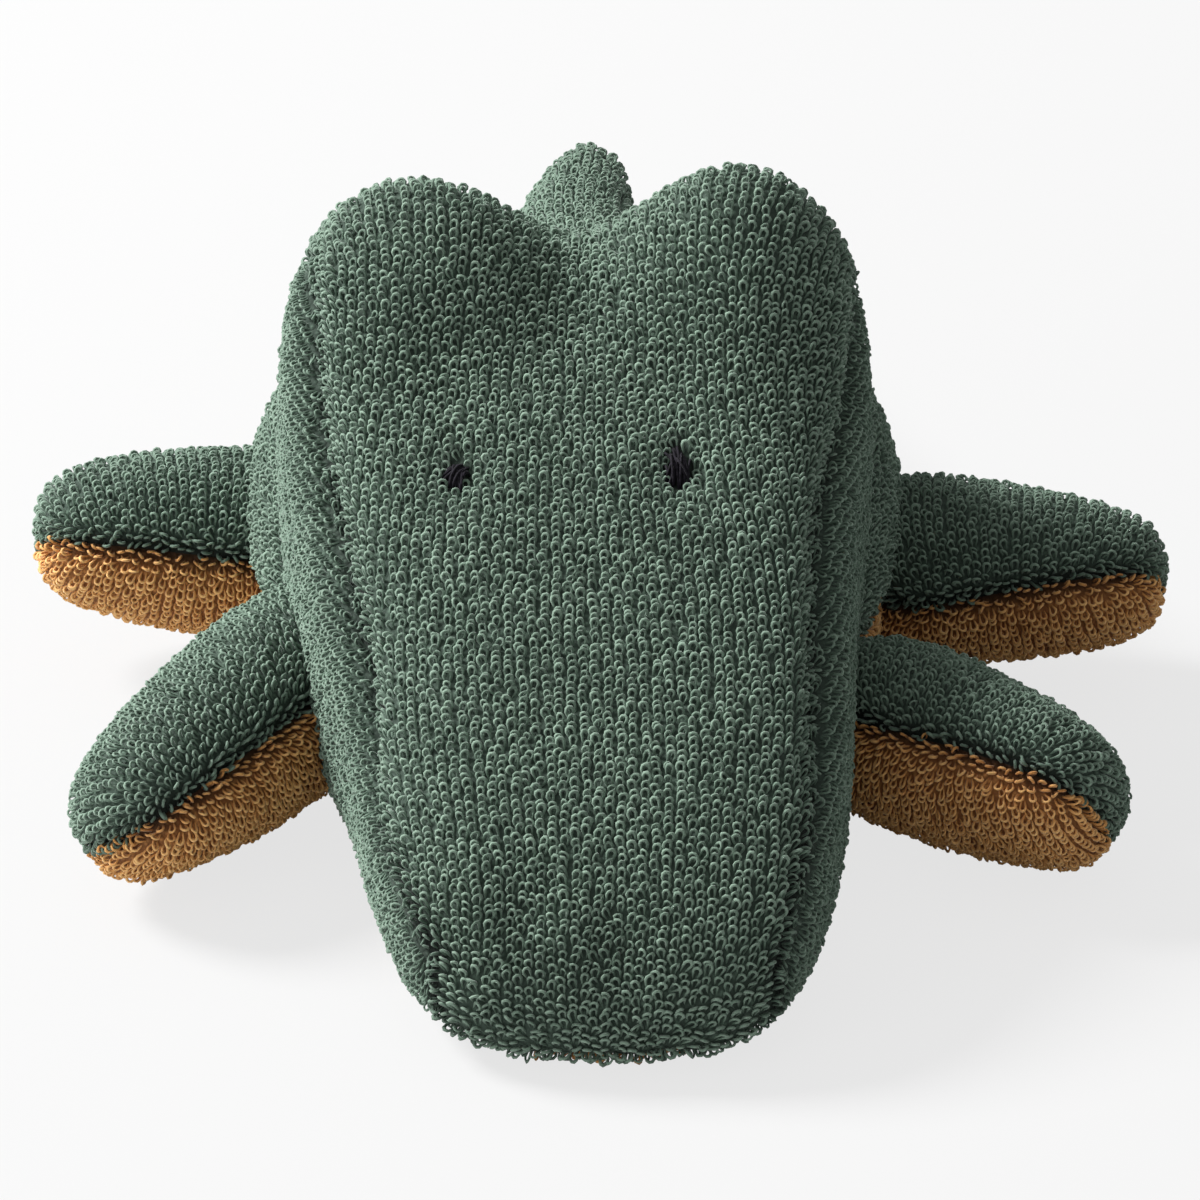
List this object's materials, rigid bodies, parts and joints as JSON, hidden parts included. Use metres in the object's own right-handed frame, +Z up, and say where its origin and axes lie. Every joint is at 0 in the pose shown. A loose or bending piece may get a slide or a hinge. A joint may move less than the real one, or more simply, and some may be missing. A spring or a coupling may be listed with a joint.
{
  "type": "plush crocodile toy",
  "caption": "Soft terry crocodile lying on its belly, with a long broad head, stub legs that flex at the hip, a swinging tail and embroidered eyes.",
  "frame": {"origin": "on the floor, under the middle of the toy", "axes": "+X to the viewer's right of a toy that faces -Y, nose to -Y, tail to +Y, +Z up"},
  "size_m": [0.1526, 0.236, 0.0766],
  "materials": {
    "green_terry": "looped terry pile, dark sage green",
    "ochre_terry": "looped terry pile, ochre brown",
    "eye_thread": "black satin stitch embroidery",
    "stuffing": "loose white polyester fibre"
  },
  "bodies": {
    "torso": {"back_panel": "green_terry", "belly_panel": "ochre_terry", "body_stuffing": "stuffing"},
    "head": {"head_top_panel": "green_terry", "head_side_left": "green_terry", "head_side_right": "green_terry", "jaw_panel": "ochre_terry", "head_stuffing": "stuffing", "eye_left": "eye_thread", "eye_right": "eye_thread"},
    "tail": {"tail_upper_panel": "green_terry", "tail_under_panel": "ochre_terry", "tail_stuffing": "stuffing"},
    "leg_front_left": {"leg_front_left_upper": "green_terry", "leg_front_left_sole": "ochre_terry", "leg_front_left_stuffing": "stuffing"},
    "leg_front_right": {"leg_front_right_upper": "green_terry", "leg_front_right_sole": "ochre_terry", "leg_front_right_stuffing": "stuffing"},
    "leg_rear_left": {"leg_rear_left_upper": "green_terry", "leg_rear_left_sole": "ochre_terry", "leg_rear_left_stuffing": "stuffing"},
    "leg_rear_right": {"leg_rear_right_upper": "green_terry", "leg_rear_right_sole": "ochre_terry", "leg_rear_right_stuffing": "stuffing"}
  },
  "joints": [
    {"name": "head_nod", "type": "hinge", "parent": "torso", "child": "head", "pos_m": [0, -0.02, 0.018], "axis": [-1, 0, 0], "range_deg": [-5, 10], "stiffness_Nm_per_rad": 0.3},
    {"name": "tail_swing", "type": "hinge", "parent": "torso", "child": "tail", "pos_m": [0, 0.019, 0], "axis": [0, 0, 1], "range_deg": [-12, 12], "stiffness_Nm_per_rad": 0.1},
    {"name": "leg_front_left_flap", "type": "hinge", "parent": "torso", "child": "leg_front_left", "pos_m": [-0.04, -0.041, 0.0155], "axis": [-0.309, 0.9511, 0], "range_deg": [-10, 18], "stiffness_Nm_per_rad": 0.05},
    {"name": "leg_front_right_flap", "type": "hinge", "parent": "torso", "child": "leg_front_right", "pos_m": [0.04, -0.041, 0.0155], "axis": [-0.309, -0.9511, 0], "range_deg": [-10, 18], "stiffness_Nm_per_rad": 0.05},
    {"name": "leg_rear_left_flap", "type": "hinge", "parent": "torso", "child": "leg_rear_left", "pos_m": [-0.0435, -0.009, 0.0175], "axis": [0, 1, 0], "range_deg": [-10, 18], "stiffness_Nm_per_rad": 0.05},
    {"name": "leg_rear_right_flap", "type": "hinge", "parent": "torso", "child": "leg_rear_right", "pos_m": [0.0435, -0.009, 0.0175], "axis": [0, -1, 0], "range_deg": [-10, 18], "stiffness_Nm_per_rad": 0.05}
  ]
}
